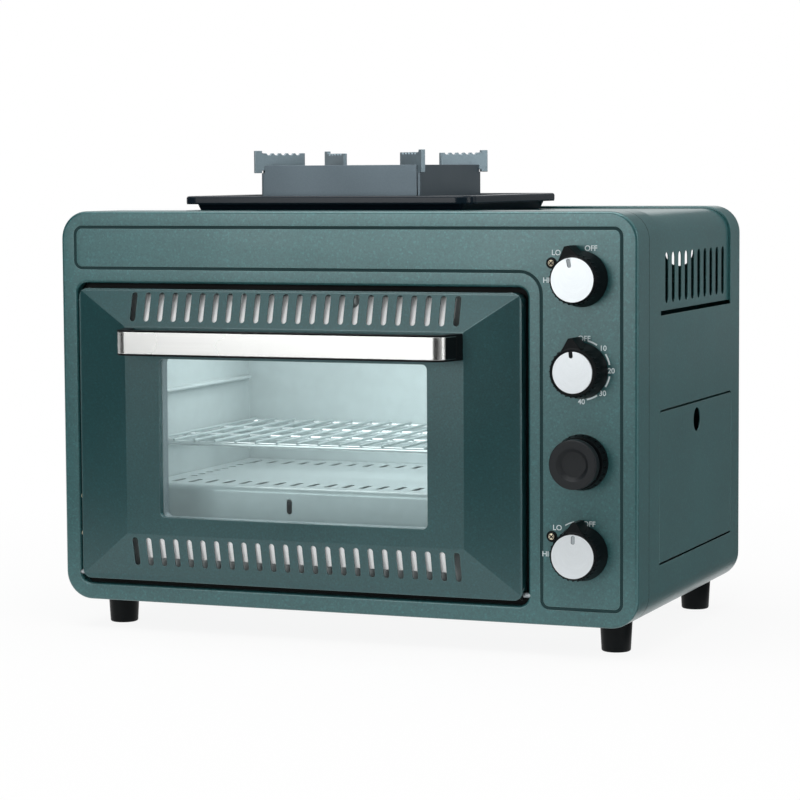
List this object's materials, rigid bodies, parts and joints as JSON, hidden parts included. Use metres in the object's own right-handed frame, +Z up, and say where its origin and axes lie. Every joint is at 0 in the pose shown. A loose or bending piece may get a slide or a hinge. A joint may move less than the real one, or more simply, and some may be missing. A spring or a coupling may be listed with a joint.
{
  "type": "camp oven",
  "caption": "Rigid tabletop gas camp oven: glazed drop-down door with a bar handle, a column of knobs, a gas ring with windshield on top, a cartridge bay in the side.",
  "frame": {"origin": "middle of the overall footprint, on the ground under the feet", "axes": "+Z up, -Y towards the user (door and controls), +X to the user's right"},
  "size_m": [0.48, 0.328, 0.3818],
  "materials": {
    "body_paint": "metallic enamel, fine grain, semi-gloss",
    "door_paint": "metallic enamel, fine grain, semi-gloss",
    "black_enamel": "smooth black enamel",
    "dark_steel": "satin heat-proof coating",
    "black_plastic": "fine matt texture",
    "stainless": "brushed along its length",
    "cap_metal": "spun and bright",
    "bright_sheet": "aluminised sheet",
    "zinc_sheet": "plain zinc-coated sheet",
    "wire_chrome": "bright plated wire",
    "cast_alloy": "as cast",
    "iron": "dark, fine grained",
    "brass": "machined",
    "copper_pipe": "drawn copper tube",
    "screw_zinc": "zinc plated",
    "ceramic": "glazed ceramic",
    "gasket": "woven glass gasket",
    "window": "clear tempered glass"
  },
  "bodies": {
    "housing": {"front_bezel": "body_paint", "outer_shell": "body_paint", "top_cover": "body_paint", "back_panel": "body_paint", "base_pan": "zinc_sheet", "foot_front_left": "black_plastic", "foot_front_right": "black_plastic", "foot_rear_left": "black_plastic", "foot_rear_right": "black_plastic", "foot_screws": "screw_zinc", "back_screws": "screw_zinc", "oven_liner": "bright_sheet", "door_seal": "gasket", "heat_shield": "zinc_sheet", "burner_cover": "bright_sheet", "oven_burner": "bright_sheet", "flame_sensor": "stainless", "oven_electrode": "ceramic", "hinge_plate_left": "screw_zinc", "hinge_plate_right": "screw_zinc", "stove_valve": "brass", "oven_valve": "brass", "safety_valve": "brass", "gas_jets": "brass", "bezel_screws": "screw_zinc", "timer_case": "black_plastic", "safety_collar": "black_plastic", "gas_pipes": "copper_pipe", "stove_burner": "cast_alloy", "stove_electrode": "ceramic", "stove_bridge": "zinc_sheet", "bay_hinges": "screw_zinc", "bay_bulkhead": "zinc_sheet", "regulator": "cast_alloy", "cartridge_cradle": "zinc_sheet"},
    "door": {"door_skin": "door_paint", "door_deflector": "bright_sheet", "window_glass": "window", "window_seal": "gasket", "door_inner_panel": "bright_sheet", "handle_grip": "black_plastic", "handle_trim": "stainless", "handle_screws": "screw_zinc"},
    "stove_control": {"stove_knob": "black_plastic", "stove_knob_cap": "cap_metal", "stove_spindle": "brass"},
    "timer_control": {"timer_knob": "black_plastic", "timer_knob_cap": "cap_metal", "timer_spindle": "brass"},
    "oven_control": {"oven_knob": "black_plastic", "oven_knob_cap": "cap_metal", "oven_spindle": "brass"},
    "flame_button": {"safety_button": "black_plastic", "safety_plunger": "brass"},
    "cartridge_door": {"bay_door": "body_paint"},
    "shelf": {"wire_rack": "wire_chrome"},
    "burner_lid": {"stove_burner_cap": "iron"},
    "tray": {"drip_tray": "black_enamel"},
    "pot_stand": {"windshield": "dark_steel", "pot_supports": "dark_steel"}
  },
  "joints": [
    {"name": "door_hinge", "type": "hinge", "parent": "housing", "child": "door", "pos_m": [-0.036, -0.1215, 0.0451], "axis": [1, 0, 0], "range_deg": [0, 90], "stiffness_Nm_per_rad": 0.6, "springref_deg": -45.84},
    {"name": "stove_turn", "type": "hinge", "parent": "housing", "child": "stove_control", "pos_m": [0.196, -0.124, 0.2845], "axis": [0, -1, 0], "range_deg": [0, 120]},
    {"name": "timer_turn", "type": "hinge", "parent": "housing", "child": "timer_control", "pos_m": [0.196, -0.124, 0.2162], "axis": [0, 1, 0], "range_deg": [0, 180]},
    {"name": "oven_turn", "type": "hinge", "parent": "housing", "child": "oven_control", "pos_m": [0.196, -0.124, 0.0796], "axis": [0, -1, 0], "range_deg": [0, 120]},
    {"name": "button_push", "type": "slide", "parent": "housing", "child": "flame_button", "axis": [0, 1, 0], "range_m": [0, 0.004], "stiffness_N_per_m": 600, "springref_m": -0.002},
    {"name": "bay_hinge", "type": "hinge", "parent": "housing", "child": "cartridge_door", "pos_m": [0.237, 0.0353, 0.0693], "axis": [0, 1, 0], "range_deg": [0, 90]},
    {"name": "shelf_slide", "type": "slide", "parent": "housing", "child": "shelf", "axis": [0, -1, 0], "range_m": [0, 0.03]},
    {"name": "lid_lift", "type": "slide", "parent": "housing", "child": "burner_lid", "axis": [0, 0, 1], "range_m": [0, 0.05]},
    {"name": "tray_lift", "type": "slide", "parent": "housing", "child": "tray", "axis": [0, 0, 1], "range_m": [0, 0.05]},
    {"name": "stand_lift", "type": "slide", "parent": "tray", "child": "pot_stand", "axis": [0, 0, 1], "range_m": [0, 0.05]}
  ]
}
